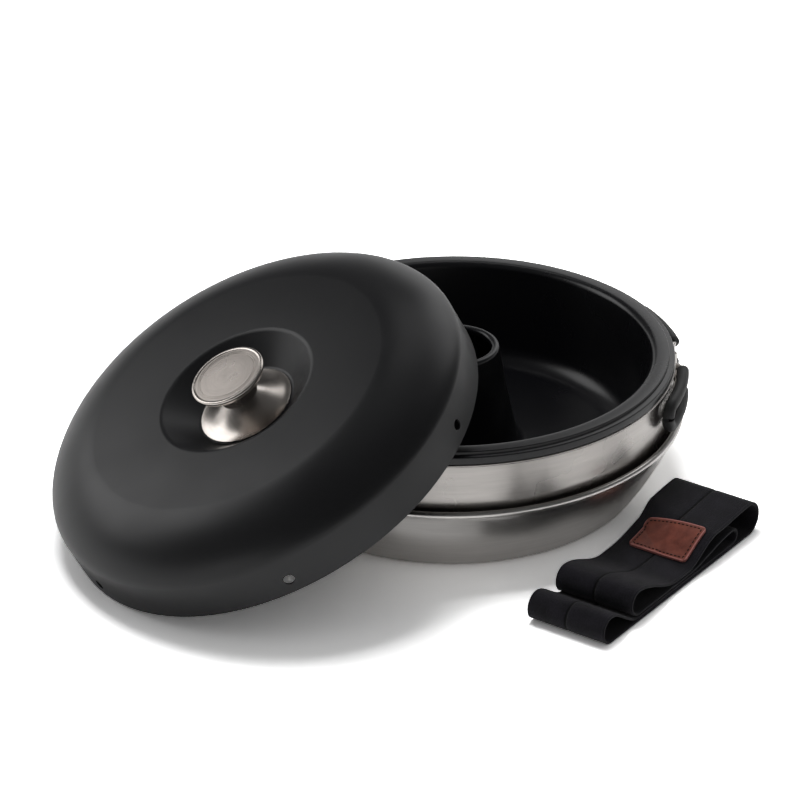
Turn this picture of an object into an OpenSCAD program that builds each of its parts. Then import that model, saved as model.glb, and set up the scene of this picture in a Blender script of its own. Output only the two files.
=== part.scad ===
// Stovetop camp oven: a base tray, a stainless ring with four folding wire handles, a ring-shaped
// baking mould, a domed lid that leans on the mould, and an elastic storage strap beside them.
// The origin is the centre of the tray's foot, on the ground, with +Z up.

/* [Baking mould] */
// Radius of the flat flange round the mould's mouth
mould_r = 130; // [115:0.5:145]
// Width of the flat flange
flange_w = 10; // [6:0.5:14]
// Width of the ledge outside the flange, where the lid sits
ledge_w = 3.4; // [2.6:0.1:5]
// Height of the flange above the ledge
flange_step = 2; // [1.9:0.1:3]
// Height of the mould's down-turned outer edge
hem_h = 4.5; // [3:0.1:7]
// Depth of the mould, from the flange to the floor
mould_depth = 62.5; // [52:0.5:66]
// How far the mould's wall leans in over its depth
mould_draft = 11.5; // [6:0.5:16]
// Radius between the mould's wall and its floor
mould_fillet = 9; // [4:0.5:12]
// Thickness of the mould's sheet
mould_t = 1.8; // [1:0.1:2.2]
// How far the mould's outer edge stands out past the ring's wall
hem_over = 0.4; // [0.2:0.1:0.8]

/* [Mould chimney] */
// Radius of the chimney just below its lip
chimney_r = 28.5; // [24:0.5:34]
// How much wider the chimney is at its foot
chimney_flare = 14.5; // [8:0.5:20]
// Radius of the hole in the chimney's top
chimney_hole_r = 23.4; // [18.5:0.1:23.8]
// Height of the chimney's lip above the flange
chimney_rise = 3.5; // [0:0.5:8]

/* [Base tray] */
// How far the tray's mouth stands out past the ring's wall
tray_out = 3.8; // [3.2:0.1:5.6]
// Height of the tray's wall below its rolled rim
tray_h = 46; // [40:0.5:52]
// How far the tray's wall leans in, straight part
tray_draft = 18; // [12:0.5:20]
// How far the tray's wall leans in, bowed part
tray_bow = 8.2; // [4:0.2:10]
// Radius between the tray's wall and its foot
tray_fillet = 12; // [6:0.5:13]
// Radius of the rolled bead on the tray's mouth
tray_bead = 2.15; // [1.6:0.05:2.6]
// Thickness of the tray's sheet
tray_t = 0.9; // [0.6:0.1:1.4]
// Radius of the air hole in the tray's middle
air_hole_r = 19; // [14:0.5:24]
// Radius at the foot of the cone round the air hole
air_cone_r = 45; // [36:0.5:55]
// Height of the air hole above the ground
air_cone_h = 16; // [8:0.5:18]

/* [Outer ring] */
// Height of the stainless ring
ring_h = 43; // [39:0.5:50]
// How far the ring's wall leans in over its height
ring_draft = 1.5; // [0.6:0.1:2.4]
// Radius of the rolled bead on the ring's top
ring_bead = 0.9; // [0.7:0.05:1.1]
// Thickness of the ring's sheet
ring_t = 0.8; // [0.6:0.1:1]
// Width of the ring's turned-in foot
ring_foot_w = 3; // [2:0.5:6]

/* [Lid] */
// Height of the lid
lid_h = 48; // [40:0.5:56]
// Height of the lid's straight skirt
lid_skirt = 23.7; // [18:0.1:28]
// Width of the lid's rounded shoulder
lid_shoulder = 40; // [30:1:50]
// Fullness of the shoulder, 2 being an ellipse
lid_fullness = 1.61; // [1.4:0.01:2.2]
// Thickness of the lid's sheet
lid_t = 1.2; // [0.8:0.1:1.5]
// Radius of the sunk middle at the lid's flat top
dish_r = 48.4; // [42:0.2:54]
// Radius of the sunk middle's floor
dish_floor_r = 30.5; // [29.4:0.1:36]
// Depth of the sunk middle
dish_depth = 14; // [8:0.5:18]
// Number of vent holes in the skirt
vents = 6; // [3:1:10]
// Diameter of a vent hole
vent_d = 6.5; // [4:0.1:9]
// Height of the vent holes above the lid's rim
vent_h = 9.5; // [7:0.1:13]

/* [Lid rest] */
// Angle at which the lid leans
lean = 27.45; // [25:0.05:30]
// Direction in which the lid leans, round the oven
lean_to = -152.45; // [-160:0.05:-140]
// Sideways offset of the leaning lid
lean_side = 14.1; // [8:0.1:18]
// Turn of the lid about its own axis
lid_turn = 7.1; // [-30:0.1:30]

/* [Knob] */
// Radius of the polished base under the knob
knob_base_r = 29; // [22:0.5:29]
// Height of the knob's base
knob_base_h = 9.5; // [6:0.5:12]
// Radius of the knob's neck
knob_neck_r = 11.5; // [8:0.5:14]
// Radius of the knob's head
knob_r = 23; // [18:0.5:27]
// Height of the knob above its base
knob_h = 16.5; // [13:0.5:20]
// Thickness of the knob's head
knob_head_t = 4; // [3:0.5:5]
// Width of the raised rim round the knob's cap
knob_rim_w = 2.4; // [1.6:0.1:4]
// Thickness of the cap let into the knob's top
knob_cap_t = 0.8; // [0.5:0.1:1.4]
// Diameter of the knob's screw
screw_d = 5; // [4:0.1:6]
// Radius of the washer under the lid
washer_r = 9; // [6:0.5:12]
// Thickness of the washer
washer_t = 1.5; // [1:0.1:2.5]

/* [Handles] */
// Position of the right pair of handles round the oven
handle_at = 5; // [-4:0.5:10]
// Gap between the folded handles and the tray's bead below them
handle_lift = 5.5; // [3.5:0.1:6.5]
// Distance between the wire's upper and lower runs
loop_h = 13.6; // [12.4:0.1:15]
// Length of a folded handle from its hinge
loop_len = 60; // [45:1:66]
// Distance from the ring's wall to the middle of the folded handle
loop_out = 5.2; // [4.8:0.1:7]
// How far the rear right handle is left open
rear_open = 2; // [0:0.5:6]
// Diameter of the handle wire
wire_d = 3.2; // [2.6:0.1:3.4]
// Diameter of the heat-proof sleeve
sleeve_d = 7.4; // [6:0.1:8]
// Length of bare wire between hinge and sleeve
sleeve_from = 9; // [8:0.5:14]
// Radius of the wire's bend at the hinge
wire_bend = 2.4; // [2:0.1:2.8]
// Distance between the two hinges of a bracket
hinge_gap = 20; // [18:0.5:26]
// Thickness of a bracket's sheet, which curls round the wires
bracket_t = 1; // [0.8:0.1:1.2]
// Diameter of a rivet's shank
rivet_d = 2.6; // [2:0.1:2.8]
// Distance between a bracket's two rivets
rivet_gap = 7; // [6:0.5:7.5]

/* [Strap] */
// Distance of the strap's front corner from the tray's mouth
strap_from = 85; // [82:0.5:110]
// Direction of the strap's front corner, round the oven
strap_at = -68.6; // [-72:0.1:-66]
// Direction in which the folded strap lies
strap_turn = 54; // [50:0.5:57]
// Width of the elastic band
strap_w = 54; // [46:0.5:58]
// Thickness of the elastic band
strap_t = 1.6; // [1:0.1:1.7]
// Length of the folded strap
strap_len = 169; // [158:1:172]
// Height of the strap's tall far loop
far_loop_h = 21.2; // [19.6:0.2:24]
// Height of the strap's front loop
front_loop_h = 17.4; // [15:0.2:19]
// Height of the loop on top of the front one
upper_loop_h = 16.4; // [14:0.2:18]
// How far the upper loop is set back
upper_loop_back = 29.5; // [27:0.5:32]
// Height of the loop inside the far one
inner_loop_h = 10.8; // [9:0.2:11.4]
// How far the inner loop stays from the strap's far end
inner_loop_back = 24; // [22:0.5:32]
// Clear gap between two pressed layers
layer_gap = 0.5; // [0.4:0.1:0.7]
// Length over which the upper loop comes down to the layers below
upper_fall = 41; // [34:0.5:46]
// Length over which the inner loop comes down to the layers below
inner_fall = 50; // [40:0.5:54]
// Length over which the top layer climbs to the far loop
top_climb = 32; // [26:0.5:40]
// Size of the leather patch along the strap
patch_len = 25; // [20:0.5:28]
// Size of the leather patch across the strap
patch_w = 40; // [30:0.5:44]
// How far the patch lies off the band's middle
patch_aside = 1.5; // [0:0.5:5]
// How far the patch lies past the middle of the climb
patch_ahead = 2; // [0:0.5:4]
// Gap between the leather patch and the band
patch_gap = 0.35; // [0.3:0.05:0.5]
// Thickness of the leather patch
patch_t = 1.8; // [1:0.1:2.4]

/* [Fits] */
// Gap between two loose pieces that rest on each other
rest_gap = 0.3; // [0.2:0.05:0.5]
// Gap between the lid's skirt and the mould's flange
lid_fit = 1; // [0.6:0.1:1.4]
// Gap round a hinge pin
pin_fit = 0.3; // [0.2:0.05:0.4]
// Gap between two fastened pieces
seat_gap = 0.05; // [0.03:0.01:0.1]

/* [Hidden] */

steel = [0.75, 0.75, 0.74];
polished = [0.85, 0.85, 0.84];
black_coat = [0.06, 0.06, 0.065];
black_rubber = [0.05, 0.05, 0.05];
black_band = [0.04, 0.04, 0.045];
leather = [0.36, 0.20, 0.17];

fine = 96;
coarse = 40;
wire_sides = 10;
sleeve_sides = 12;

// Mould radii, and heights stacked up from the tray
ledge_r = mould_r + ledge_w;
mouth_r = mould_r - flange_w;
ring_r = ledge_r - hem_over;
tray_r = ring_r + tray_out;
ring_foot_r = ring_r - ring_draft;
seat_drop = ring_seat(tray_r - tray_t * 1.1 - rest_gap - ring_foot_r);
ring_z = tray_h * (1 - seat_drop);
ring_top = ring_z + ring_h;
mould_z = ring_top + rest_gap;
ledge_z = mould_z + hem_h;
flange_z = ledge_z + flange_step;
floor_z = flange_z - mould_depth;
chimney_top = flange_z + chimney_rise;
lip_r = (chimney_r - chimney_hole_r) / 2;
bead_up = 0.5;
chimney_steps = 12;

// Lid sizes and the place where it leans
lid_r = mould_r + lid_fit + lid_t;
dish_z = lid_h - dish_depth;
shoulder_steps = 14;
knob_base_z = dish_z + seat_gap;
knob_z = knob_base_z + knob_base_h + seat_gap;
screw_fit = 0.1;
lean_z = lid_r * sin(lean) + rest_gap;
// Height at which the lid's rim passes the flange's edge, and the rim's turn there
touch_z = flange_z + 1.4;
touch_turn = acos((touch_z - lean_z) / (lid_r * sin(lean)));
touch_r = mould_r - 0.1;
lean_out = lid_r * cos(lean) * cos(touch_turn)
    + sqrt(pow(touch_r, 2) - pow(lid_r * sin(touch_turn) - lean_side, 2));

// Handle sizes: the hinge line is where a curl of bracket sheet just clears the ring's wall
bead_top = tray_h + 2 * tray_bead + bead_up;
handle_z = bead_top + handle_lift + (sleeve_d + loop_h) / 2;
loop_r = ring_r + loop_out;
curl_r = wire_d / 2 + pin_fit + bracket_t;
hinge_r = ring_wall(handle_z) + seat_gap * 2 + curl_r;
hinge_half = hinge_gap / 2 / hinge_r * 180 / PI;
rivet_half = rivet_gap / 2 / ring_r * 180 / PI;
rivet_head_t = 0.9;
bracket_h = loop_h - 2 * wire_bend - 2 * rest_gap;
bracket_low = handle_z - bracket_h / 2;
bracket_high = handle_z + bracket_h / 2;

// Strap layers, by the height of their middle lines
strap_z = strap_t / 2;
layer = strap_t + layer_gap;
front_loop_r = (front_loop_h - strap_t) / 2;
upper_loop_r = (upper_loop_h - strap_t) / 2;
inner_loop_r = (inner_loop_h - strap_t) / 2;
far_loop_r = (far_loop_h - strap_t) / 2;
front_u = front_loop_r + strap_z;
upper_u = upper_loop_back + upper_loop_r + strap_z;
inner_u = strap_len - inner_loop_back - inner_loop_r - strap_z;
far_u = strap_len - far_loop_r - strap_z;
second_z = strap_z + layer;
third_z = second_z + layer;
top_z = third_z + layer;
crest_z = strap_z + 2 * far_loop_r;
pinch_from = upper_u + upper_fall;
pinch_to = inner_u - inner_fall;
crest_u = pinch_to + top_climb;
crest_dip = 2;
patch_u = (pinch_to + crest_u) / 2 + patch_ahead;

// Small helpers for outlines
function unit(v) = v / norm(v);
function left_of(v) = [-v[1], v[0]];
function smooth(t) = t * t * (3 - 2 * t);
function arc(c, r, a, b, n) = [for (i = [0:n]) c + r * [cos(a + (b - a) * i / n), sin(a + (b - a) * i / n)]];
function ease(p, q, n) = [for (i = [1:n - 1])
    let (t = i / n) [p[0] + (q[0] - p[0]) * t, p[1] + (q[1] - p[1]) * smooth(t)]];

// Offset of an outline's point to its left, mitred between the two sides that meet there
function miter(p, i) = let (
    a = i > 0 ? unit(p[i] - p[i - 1]) : unit(p[1] - p[0]),
    b = i < len(p) - 1 ? unit(p[i + 1] - p[i]) : a)
    (left_of(a) + left_of(b)) / (1 + a * b);
function aside(p, t) = [for (i = [0:len(p) - 1]) p[i] + t * miter(p, i)];
function backwards(p) = [for (i = [len(p) - 1:-1:0]) p[i]];
// Closed outline of a sheet of thickness t that lies to the left of a line
function sheet(p, t) = concat(p, backwards(aside(p, t)));

// The arc that rounds corner b between a and c
function corner(a, b, c, r, n) = let (
    u = unit(a - b), v = unit(c - b), half = acos(u * v) / 2,
    d = r / tan(half), o = b + unit(u + v) * r / sin(half),
    p = b + u * d, q = b + v * d,
    from = atan2(p[1] - o[1], p[0] - o[0]), to = atan2(q[1] - o[1], q[0] - o[0]),
    turn = (to - from + 540) % 360 - 180)
    [for (i = [0:n]) o + r * [cos(from + turn * i / n), sin(from + turn * i / n)]];

// Outer radius of the ring's wall, and of the tray's wall at a share v of its height down
function ring_wall(z) = ring_r - ring_draft * (ring_top - z) / ring_h;
function tray_wall(v) = tray_r - tray_draft * v - tray_bow * v * v;
// Share of the tray's height down at which its wall has come in by d
function ring_seat(d) = (sqrt(tray_draft * tray_draft + 4 * tray_bow * d) - tray_draft) / (2 * tray_bow);
// Outer radius of the chimney at a share w of its height
function chimney_wall(w) = chimney_r + chimney_flare * pow(1 - w, 1.6);

function tray_line() = let (
    wall = [for (i = [6:-1:0]) [tray_wall(i / 6), tray_h * (1 - i / 6)]],
    foot = [for (i = [6, 5]) [tray_wall(i / 6), tray_h * (1 - i / 6)]])
    concat([[air_hole_r, air_cone_h]],
        corner([air_hole_r, air_cone_h], [air_cone_r, 0], [air_cone_r + 20, 0], 8, 4),
        corner([air_cone_r + 20, 0], foot[0], foot[1], tray_fillet, 8),
        [for (i = [1:6]) wall[i]],
        [[tray_r + 0.15, tray_h + tray_bead]]);

module base_tray() color(steel) rotate_extrude($fn = fine) {
    polygon(sheet(tray_line(), tray_t));
    translate([tray_r + 0.35, tray_h + tray_bead + bead_up]) circle(tray_bead, $fn = coarse);
}

function ring_line() = concat(
    [[ring_foot_r - ring_foot_w, ring_z]],
    corner([ring_foot_r - ring_foot_w, ring_z], [ring_foot_r, ring_z], [ring_r, ring_top], 1.2, 4),
    [[ring_r, ring_top - ring_bead]]);

module outer_ring() color(steel) difference() {
    rotate_extrude($fn = fine) {
        polygon(sheet(ring_line(), ring_t));
        translate([ring_r - 0.1, ring_top - ring_bead]) circle(ring_bead, $fn = coarse);
    }
    for (side = [0, 180], i = [-1, 1])
        radial(handle_at + side + i * rivet_half, ring_r - 10) cylinder(20, d = rivet_d + 2 * screw_fit, $fn = 24);
}

// Puts a child that stands on its +Z axis at a radius, pointing outwards, at the handles' height
module radial(angle, r) rotate(angle) translate([r, 0, handle_z]) rotate([0, 90, 0]) children();

// A strip of sheet on the ring's wall whose two ends curl round the handles' upright wires
module bracket(angle) color(polished) difference() {
    low_r = ring_wall(bracket_low) + seat_gap;
    high_r = ring_wall(bracket_high) + seat_gap;
    union() {
        rotate(angle - hinge_half) rotate_extrude(angle = 2 * hinge_half, $fn = fine) polygon([
            [low_r, bracket_low], [low_r + bracket_t, bracket_low],
            [high_r + bracket_t, bracket_high], [high_r, bracket_high]]);
        for (i = [-1, 1]) rotate(angle + i * hinge_half) translate([hinge_r, 0, bracket_low])
            cylinder(bracket_h, r = curl_r, $fn = 48);
    }
    for (i = [-1, 1]) {
        rotate(angle + i * hinge_half) translate([hinge_r, 0, bracket_low - 1])
            cylinder(bracket_h + 2, d = wire_d + 2 * pin_fit, $fn = 48);
        radial(angle + i * rivet_half, ring_r - 10) cylinder(20, d = rivet_d + 2 * screw_fit, $fn = 24);
    }
}
module bracket_right() bracket(handle_at);
module bracket_left() bracket(handle_at + 180);

// A pair of rivets: a shank through ring and bracket, with a head at each end
module rivets(angle) color(steel) for (i = [-1, 1]) {
    inner = ring_wall(handle_z) - ring_t - seat_gap;
    outer = ring_wall(handle_z) + bracket_t + 3 * seat_gap;
    radial(angle + i * rivet_half, 0) {
        translate([0, 0, inner - rivet_head_t]) cylinder(rivet_head_t, d = rivet_d * 1.7, $fn = 32);
        translate([0, 0, inner - rivet_head_t / 2]) cylinder(outer - inner + rivet_head_t, d = rivet_d, $fn = 32);
        translate([0, 0, outer]) cylinder(rivet_head_t, d1 = rivet_d * 1.7, d2 = rivet_d * 1.1, $fn = 32);
    }
}
module rivets_right() rivets(handle_at);
module rivets_left() rivets(handle_at + 180);

// A handle's line as distance from its hinge and height, then laid round the ring; the wire
// leaves the hinge close to the wall and steps out to the middle of the sleeve
function loop_line(from) = let (
    up = loop_h / 2, run = loop_len - up,
    elbow = arc([wire_bend, up - wire_bend], wire_bend, 180, 90, 5),
    first = max(from, wire_bend),
    out = [for (i = [1:8]) [first + (run - first) * i / 8, up]],
    half = concat(from > 0 ? [[from, up]] : elbow, out))
    concat(half, [for (i = [1:9]) [run + up * sin(i * 18), up * cos(i * 18)]],
        [for (i = [len(half) - 1:-1:0]) [half[i][0], -half[i][1]]]);
function laid(line, angle, way) = [for (p = line) let (
    r = hinge_r + (loop_r - hinge_r) * smooth(min(1, max(0, p[0] - wire_bend) / (sleeve_from - wire_bend - 1))),
    a = angle + way * p[0] / loop_r * 180 / PI) [r * cos(a), r * sin(a), handle_z + p[1]]];

// A round tube along points that lie at the loop's radius
module tube(path, r, sides) {
    last = len(path) - 1;
    points = [for (i = [0:last]) let (
        t = unit(path[min(i + 1, last)] - path[max(i - 1, 0)]),
        n = unit([path[i][0], path[i][1], 0]), b = cross(t, n))
        each [for (j = [0:sides - 1]) path[i] + r * (cos(j * 360 / sides) * n + sin(j * 360 / sides) * b)]];
    sheets = [for (i = [0:last - 1], j = [0:sides - 1]) let (
        a = i * sides + j, b = i * sides + (j + 1) % sides)
        each [[a, b + sides, b], [a, a + sides, b + sides]]];
    polyhedron(points, concat(sheets, [[for (j = [0:sides - 1]) j]],
        [[for (j = [sides - 1:-1:0]) last * sides + j]]), convexity = 6);
}

// Turns a handle about its hinge
module swung(angle, open) rotate(angle) translate([hinge_r, 0, 0]) rotate(open)
    translate([-hinge_r, 0, 0]) rotate(-angle) children();

// A folded wire handle, an endless loop whose upright part is the hinge pin; way is the direction
// in which it lies round the ring
module handle_wire(angle, way, open = 0) color(polished) swung(angle, open) {
    tube(laid(loop_line(0), angle, way), wire_d / 2 - 0.03, wire_sides);
    rotate(angle) translate([hinge_r, 0, handle_z - loop_h / 2 + wire_bend - 0.4])
        cylinder(loop_h - 2 * wire_bend + 0.8, d = wire_d, $fn = 32);
}
module handle_sleeve(angle, way, open = 0) color(black_rubber) swung(angle, open) difference() {
    tube(laid(loop_line(sleeve_from), angle, way), sleeve_d / 2, sleeve_sides);
    tube(laid(loop_line(sleeve_from - 1), angle, way), wire_d / 2 + seat_gap, wire_sides);
}
module wire_right_front() handle_wire(handle_at - hinge_half, -1);
module wire_right_rear() handle_wire(handle_at + hinge_half, 1, -rear_open);
module wire_left_front() handle_wire(handle_at + 180 + hinge_half, 1);
module wire_left_rear() handle_wire(handle_at + 180 - hinge_half, -1);
module sleeve_right_front() handle_sleeve(handle_at - hinge_half, -1);
module sleeve_right_rear() handle_sleeve(handle_at + hinge_half, 1, -rear_open);
module sleeve_left_front() handle_sleeve(handle_at + 180 + hinge_half, 1);
module sleeve_left_rear() handle_sleeve(handle_at + 180 - hinge_half, -1);

function mould_line() = let (
    wall_foot = [mouth_r - mould_draft, floor_z],
    chimney = [for (i = [0:chimney_steps]) let (w = i / chimney_steps)
        [chimney_wall(w), floor_z + (chimney_top - lip_r - floor_z) * w]])
    concat([[ledge_r, mould_z]],
        corner([ledge_r, mould_z], [ledge_r, ledge_z], [mould_r, ledge_z], 0.8, 3),
        [[mould_r, ledge_z], [mould_r, flange_z]],
        corner([mould_r, flange_z], [mouth_r, flange_z], wall_foot, 1.5, 4),
        corner([mouth_r, flange_z], wall_foot, [chimney[0][0], floor_z], mould_fillet, 8),
        corner(wall_foot, chimney[0], chimney[1], 6, 6),
        [for (i = [1:chimney_steps - 1]) chimney[i]],
        arc([chimney_r - lip_r, chimney_top - lip_r], lip_r, 0, 180, 10),
        [[chimney_hole_r, chimney_top - lip_r - 1.5]]);

module baking_mould() color(black_coat) rotate_extrude($fn = fine) polygon(sheet(mould_line(), mould_t));

// Places the lid's pieces, made with the rim at height 0, where the lid leans on the mould
module leaning() rotate(lean_to) translate([lean_out, lean_side, lean_z])
    rotate([0, lean, 0]) rotate(lid_turn) children();

function lid_line() = concat([[lid_r, 0]],
    [for (i = [0:shoulder_steps]) let (t = 90 * i / shoulder_steps, p = 2 / lid_fullness)
        [lid_r - lid_shoulder + lid_shoulder * pow(cos(t), p), lid_skirt + (lid_h - lid_skirt) * pow(sin(t), p)]],
    corner([lid_r - lid_shoulder, lid_h], [dish_r, lid_h], [dish_floor_r, dish_z], 2, 4),
    corner([dish_r, lid_h], [dish_floor_r, dish_z], [0, dish_z], 2, 4),
    [[screw_d / 2 + screw_fit, dish_z]]);

module lid_shell() color(black_coat) leaning() difference() {
    rotate_extrude($fn = fine) polygon(sheet(lid_line(), lid_t));
    for (i = [0:vents - 1]) rotate(i * 360 / vents) translate([lid_r - 6, 0, vent_h])
        rotate([0, 90, 0]) cylinder(12, d = vent_d, $fn = 32);
}

module knob_base() color(polished) leaning() rotate_extrude($fn = fine) polygon(concat(
    [[screw_d / 2 + screw_fit, knob_base_z], [knob_base_r, knob_base_z]],
    [for (i = [0:10]) let (w = i / 10) [knob_base_r + (knob_neck_r - knob_base_r) * w,
        knob_base_z + 0.6 + (knob_base_h - 0.6) * pow(w, 1.6)]],
    [[screw_d / 2 + screw_fit, knob_base_z + knob_base_h]]));

module lid_knob() color(polished) leaning() translate([0, 0, knob_z]) rotate_extrude($fn = fine) {
    screw_r = screw_d / 2 + screw_fit;
    cap_r = knob_r - knob_rim_w;
    neck_top = knob_h - knob_head_t - 3;
    polygon(concat(
        [[screw_r, 0], [knob_neck_r, 0]],
        [for (i = [0:6]) let (t = 15 * i) [knob_neck_r + (knob_r - 1.5 - knob_neck_r) * (1 - cos(t)), neck_top + 3 * sin(t)]],
        arc([knob_r - 1.2, knob_h - 1.2], 1.2, -60, 90, 6),
        [[cap_r, knob_h], [cap_r, knob_h - knob_cap_t - seat_gap], [0, knob_h - knob_cap_t - seat_gap],
            [0, neck_top + 0.5], [screw_r, neck_top + 0.5]]));
}

module knob_cap() color(steel) leaning() translate([0, 0, knob_z + knob_h - knob_cap_t])
    cylinder(knob_cap_t - 0.2, r = knob_r - knob_rim_w - seat_gap, $fn = fine);

module knob_washer() color(steel) leaning()
    translate([0, 0, dish_z - lid_t - seat_gap - washer_t]) difference() {
        cylinder(washer_t, r = washer_r, $fn = 48);
        translate([0, 0, -1]) cylinder(washer_t + 2, r = screw_d / 2 + screw_fit, $fn = 32);
    }

module knob_screw() color(steel) leaning() {
    head_z = dish_z - lid_t - 2 * seat_gap - washer_t;
    head_h = screw_d * 0.7;
    translate([0, 0, head_z - 0.5])
        cylinder(knob_z + knob_h - knob_head_t - 3.5 - head_z, d = screw_d, $fn = 32);
    difference() {
        translate([0, 0, head_z - head_h]) cylinder(head_h, d = screw_d * 1.8, $fn = 40);
        for (turn = [0, 90]) rotate(turn) translate([-screw_d, -0.5, head_z - head_h - 1]) cube([2 * screw_d, 1, 2]);
    }
}

// Middle line of the folded band, seen from its side: along the strap and up
function band_line() = concat(
    arc([far_u, strap_z + far_loop_r], far_loop_r, 90, -90, 16),
    arc([front_u, strap_z + front_loop_r], front_loop_r, -90, -270, 12),
    ease([front_u, strap_z + 2 * front_loop_r], [upper_u - 1, second_z], 12),
    [[upper_u - 1, second_z]],
    arc([inner_u, second_z + inner_loop_r], inner_loop_r, -90, 90, 8),
    ease([inner_u, second_z + 2 * inner_loop_r], [pinch_to, third_z], 10),
    [[pinch_to, third_z]],
    arc([upper_u, third_z + upper_loop_r], upper_loop_r, -90, -270, 12),
    ease([upper_u, third_z + 2 * upper_loop_r], [pinch_from, top_z], 12),
    [[pinch_from, top_z], [pinch_to, top_z]],
    ease([pinch_to, top_z], [crest_u, crest_z - crest_dip], 12),
    [[crest_u, crest_z - crest_dip]],
    ease([crest_u, crest_z - crest_dip], [far_u, crest_z], 6));

// Offset of a closed line to its left
function ring_miter(p, i) = let (n = len(p), a = unit(p[i] - p[(i + n - 1) % n]), b = unit(p[(i + 1) % n] - p[i]))
    (left_of(a) + left_of(b)) / (1 + a * b);
function ring_aside(p, t) = [for (i = [0:len(p) - 1]) p[i] + t * ring_miter(p, i)];

// Stands an outline drawn along the strap and up on its edge, a given span across the strap
module across(from, to) rotate(strap_at) translate([tray_r + strap_from, 0, 0]) rotate(strap_turn - strap_at)
    translate([0, to, 0]) rotate([90, 0, 0]) linear_extrude(to - from) children();

module strap_band() color(black_band) across(0, strap_w) difference() {
    polygon(ring_aside(band_line(), strap_t / 2));
    polygon(ring_aside(band_line(), -strap_t / 2));
}

// The band's top layer under the patch, as heights of its upper face
function top_layer(u) = top_z + (crest_z - crest_dip - top_z) * smooth((u - pinch_to) / (crest_u - pinch_to)) + strap_z;
module strap_patch() color(leather) across((strap_w - patch_w) / 2 - patch_aside, (strap_w + patch_w) / 2 - patch_aside) {
    line = [for (i = [0:8]) let (u = patch_u + patch_len * (i / 8 - 0.5)) [u, top_layer(u) + patch_gap]];
    polygon(sheet(line, patch_t));
}

base_tray();
outer_ring();
bracket_right();
bracket_left();
rivets_right();
rivets_left();
wire_right_front();
wire_right_rear();
wire_left_front();
wire_left_rear();
sleeve_right_front();
sleeve_right_rear();
sleeve_left_front();
sleeve_left_rear();
baking_mould();
lid_shell();
knob_base();
lid_knob();
knob_cap();
knob_screw();
knob_washer();
strap_band();
strap_patch();
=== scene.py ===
import math
import bpy
from mathutils import Matrix, Vector


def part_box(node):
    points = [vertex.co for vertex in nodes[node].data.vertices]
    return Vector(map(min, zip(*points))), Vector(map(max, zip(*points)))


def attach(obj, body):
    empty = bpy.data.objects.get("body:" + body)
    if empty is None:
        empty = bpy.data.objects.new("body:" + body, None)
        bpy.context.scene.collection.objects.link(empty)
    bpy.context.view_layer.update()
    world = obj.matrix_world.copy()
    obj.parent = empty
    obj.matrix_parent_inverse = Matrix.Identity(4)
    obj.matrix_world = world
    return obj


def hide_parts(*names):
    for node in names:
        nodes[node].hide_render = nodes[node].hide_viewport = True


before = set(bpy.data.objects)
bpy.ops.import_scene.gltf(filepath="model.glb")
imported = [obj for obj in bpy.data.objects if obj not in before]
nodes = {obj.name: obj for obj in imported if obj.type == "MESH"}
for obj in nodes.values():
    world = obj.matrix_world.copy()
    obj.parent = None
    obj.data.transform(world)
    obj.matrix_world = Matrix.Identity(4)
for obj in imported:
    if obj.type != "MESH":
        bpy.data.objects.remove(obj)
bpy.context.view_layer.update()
mm = 0.001
mergeGap = 0.002 * mm
print("frame loaded:", len(nodes), "solids")


# selecting, naming and finishing a piece

def pickNothing():
    if bpy.context.mode != "OBJECT":
        bpy.ops.object.mode_set(mode="OBJECT")
    bpy.ops.object.select_all(action="DESELECT")


def pickOnly(piece):
    pickNothing()
    piece.select_set(True)
    bpy.context.view_layer.objects.active = piece


def rename(piece, name):
    piece.name = name
    piece.data.name = name
    return piece


def applyModifiers(piece):
    pickOnly(piece)
    for name in [modifier.name for modifier in piece.modifiers]:
        bpy.ops.object.modifier_apply(modifier=name)


def settle(piece, place=None):
    # puts the piece where it belongs and leaves that place in its mesh
    pickOnly(piece)
    if place is not None:
        piece.matrix_world = place @ piece.matrix_world
    bpy.ops.object.transform_apply(location=True, rotation=True, scale=True)


def joinAll(parts, name):
    pickOnly(parts[0])
    for part in parts[1:]:
        part.select_set(True)
    if len(parts) > 1:
        bpy.ops.object.join()
    return rename(parts[0], name)


def copyOf(piece, name, place):
    twin = piece.copy()
    twin.data = piece.data.copy()
    bpy.context.collection.objects.link(twin)
    rename(twin, name)
    settle(twin, place)
    return twin


def mendMesh(piece):
    # merges doubled points, then turns the faces outward
    pickOnly(piece)
    bpy.ops.object.mode_set(mode="EDIT")
    bpy.ops.mesh.select_all(action="SELECT")
    bpy.ops.mesh.remove_doubles(threshold=mergeGap)
    bpy.ops.mesh.normals_make_consistent(inside=False)
    bpy.ops.object.mode_set(mode="OBJECT")


def roundEdges(piece, width, segments=2, angle=50):
    bevel = piece.modifiers.new("roundedEdges", "BEVEL")
    bevel.width = width * mm
    bevel.segments = segments
    bevel.limit_method = "ANGLE"
    bevel.angle_limit = math.radians(angle)
    bevel.use_clamp_overlap = True
    applyModifiers(piece)


def smoothShade(piece, angle=38):
    pickOnly(piece)
    bpy.ops.object.shade_smooth_by_angle(angle=math.radians(angle))


def finishPiece(piece, body, material, replaced=()):
    piece.data.materials.clear()
    piece.data.materials.append(material)
    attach(piece, body)
    if replaced:
        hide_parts(*replaced)


# outlines, as distance from the axis and height, in millimetres

def arcPoints(centre, radius, start, end, count):
    points = []
    for i in range(count + 1):
        angle = math.radians(start + (end - start) * i / count)
        points.append((centre[0] + radius * math.cos(angle), centre[1] + radius * math.sin(angle)))
    return points


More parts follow.
